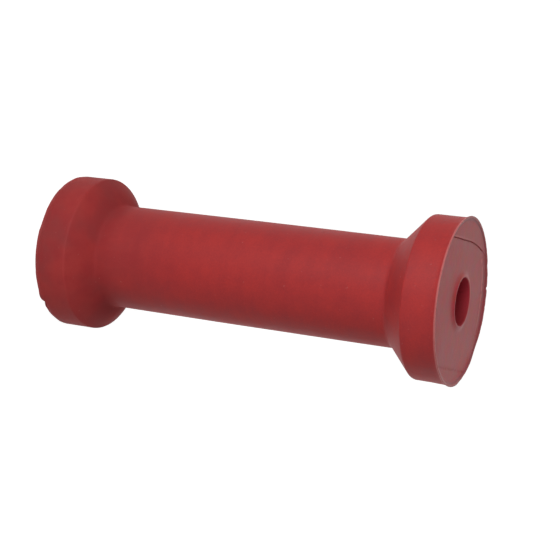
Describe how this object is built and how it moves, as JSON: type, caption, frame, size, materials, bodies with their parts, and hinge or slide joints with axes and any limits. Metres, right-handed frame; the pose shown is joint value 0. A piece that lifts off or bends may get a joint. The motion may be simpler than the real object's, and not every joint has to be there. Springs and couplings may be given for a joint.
{
  "type": "boat trailer keel roller",
  "caption": "One-piece cast polyurethane keel roller: waisted drum between two coned rims, with a plain bore for its spindle.",
  "frame": {"origin": "middle of the moulded end face, on the bore axis", "axes": "+Z along the bore from the moulded end, on which the roller stands, to the open-cast end; the picture looks at the -Y side with -X upwards"},
  "size_m": [0.0768, 0.0768, 0.203],
  "materials": {
    "cast_polyurethane": "satin"
  },
  "bodies": {
    "root": {"keel_roller": "cast_polyurethane"}
  },
  "joints": []
}
